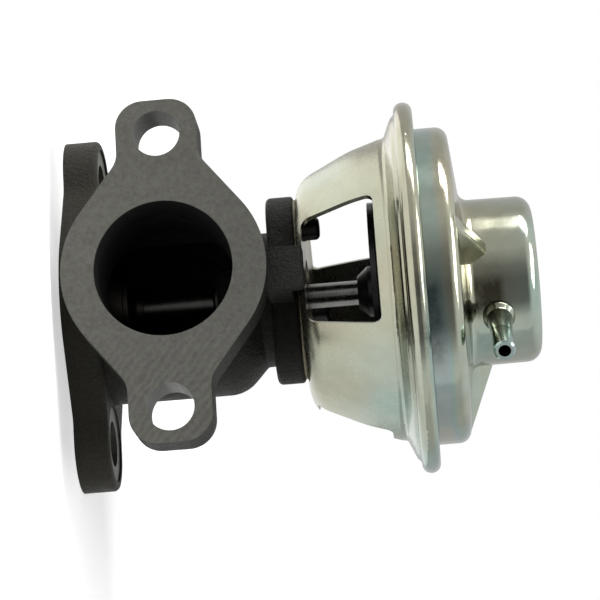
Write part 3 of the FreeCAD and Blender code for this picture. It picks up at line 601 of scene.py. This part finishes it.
# %% [markdown]
# A round sheet, such as a diaphragm, starts as one circle at its eye. The circle is extruded ring by
# ring along half a section, each new ring is stretched to its own radius, and the Solidify modifier
# gives the sheet its wall. The half section has only the corners that the shape needs, and a helper
# rounds them into short arcs.

# %% Helpers for a round sheet
ROUND_SIDES = 128
ARC_STEPS = 4
SMOOTH_BELOW = math.radians(40)


def rounded(corners):
    """Points along the corners (radius, height, rounding), with an arc of short steps at each rounded one."""
    points = []
    for before, corner, after in zip([corners[0]] + corners, corners, corners[1:] + [corners[-1]]):
        here = Vector(corner[:2])
        rounding = corner[2]
        if not rounding:
            points.append(here)
            continue
        back = (Vector(before[:2]) - here).normalized()
        ahead = (Vector(after[:2]) - here).normalized()
        half = back.angle(ahead) / 2
        reach = rounding / math.tan(half)
        centre = here + (back + ahead).normalized() * (rounding / math.sin(half))
        start = here + back * reach - centre
        end = here + ahead * reach - centre
        for step in range(ARC_STEPS + 1):
            points.append(centre + start.lerp(end, step / ARC_STEPS).normalized() * rounding)
    return points


def turned_sheet(name, points, thickness):
    """A circle extruded from ring to ring along the points, with half the wall on each side of them."""
    bpy.ops.object.select_all(action="DESELECT")
    bpy.ops.mesh.primitive_circle_add(vertices=ROUND_SIDES, radius=points[0].x, location=(0, 0, points[0].y))
    piece = bpy.context.object
    piece.name = name
    bpy.ops.object.transform_apply(location=True, rotation=True, scale=True)
    bpy.ops.object.mode_set(mode="EDIT")
    bpy.ops.mesh.select_all(action="SELECT")
    for last, point in zip(points, points[1:]):
        bpy.ops.mesh.extrude_edges_move(TRANSFORM_OT_translate={"value": (0, 0, point.y - last.y)})
        wider = point.x / last.x
        bpy.ops.transform.resize(value=(wider, wider, 1.0), center_override=(0, 0, point.y))
    bpy.ops.mesh.select_all(action="SELECT")
    bpy.ops.mesh.normals_make_consistent(inside=False)
    bpy.ops.object.mode_set(mode="OBJECT")
    wall = piece.modifiers.new("wall", "SOLIDIFY")
    wall.thickness = thickness
    wall.offset = 0.0
    bpy.ops.object.modifier_apply(modifier=wall.name)
    bpy.ops.object.shade_smooth_by_angle(angle=SMOOTH_BELOW)
    return piece


print("a round piece gets", ROUND_SIDES, "sides")

# %% [markdown]
# The construction holds the diaphragm as a plain closed solid. The real one is a moulded rubber disc:
# flat between its two plates, then one rolled fold that lets the middle rise, then a rim clamped in the
# bracket. As the valve lifts, the real fold rolls.

# %% The rubber diaphragm
RUBBER_WALL = 0.85 * MM
EYE_R = 2.75 * MM
FLAT_R = 22.6 * MM
CREST_R = 26.8 * MM
TROUGH_R = 31.0 * MM
WALL_R = 37.3 * MM
BEAD_R = 42.4 * MM
FLAT_ABOVE_LOWEST = 0.5 * MM
FOLD_RISE = 3.3 * MM
TROUGH_RISE = 1.0 * MM
BEAD_BELOW_HIGHEST = 0.55 * MM

rubber_low, rubber_high = (corner.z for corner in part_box("diaphragm"))
flat_z = rubber_low + FLAT_ABOVE_LOWEST
bead_z = rubber_high - BEAD_BELOW_HIGHEST
half_section = rounded([
    (EYE_R, flat_z, 0),
    (FLAT_R, flat_z, 1.4 * MM),
    (CREST_R, flat_z + FOLD_RISE, 2.0 * MM),
    (TROUGH_R, flat_z + TROUGH_RISE, 2.0 * MM),
    (WALL_R, bead_z, 1.8 * MM),
    (BEAD_R, bead_z, 0),
])
rubber_disc = turned_sheet("rubber_diaphragm", half_section, RUBBER_WALL)
rubber_disc.data.materials.append(finishes["rubber"])
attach(rubber_disc, "housing")
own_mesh(rubber_disc)
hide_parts("diaphragm")
print("diaphragm:", len(rubber_disc.data.polygons), "faces,",
      "from", round(rubber_low, 4), "to", round(rubber_high, 4))

# %% [markdown]
# The return spring is drawn wire, wound and ground flat at both ends. Its solid already has that shape,
# so the piece here is a copy of it, with the loose triangles merged and the wire shaded round. It is a
# piece of its own because the valve presses it together against the roof of the drum.

# %% The return spring
MERGE = 0.002 * MM
WIRE_SMOOTH_BELOW = math.radians(50)

solid_spring = frame["nodes"]["return_spring"]
coil_spring = bpy.data.objects.new("coil_spring", solid_spring.data.copy())
bpy.context.scene.collection.objects.link(coil_spring)
bpy.ops.object.select_all(action="DESELECT")
coil_spring.select_set(True)
bpy.context.view_layer.objects.active = coil_spring
bpy.ops.object.mode_set(mode="EDIT")
bpy.ops.mesh.select_all(action="SELECT")
bpy.ops.mesh.remove_doubles(threshold=MERGE)
bpy.ops.object.mode_set(mode="OBJECT")
bpy.ops.object.shade_smooth_by_angle(angle=WIRE_SMOOTH_BELOW)
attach(coil_spring, "housing")
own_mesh(coil_spring)
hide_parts("return_spring")
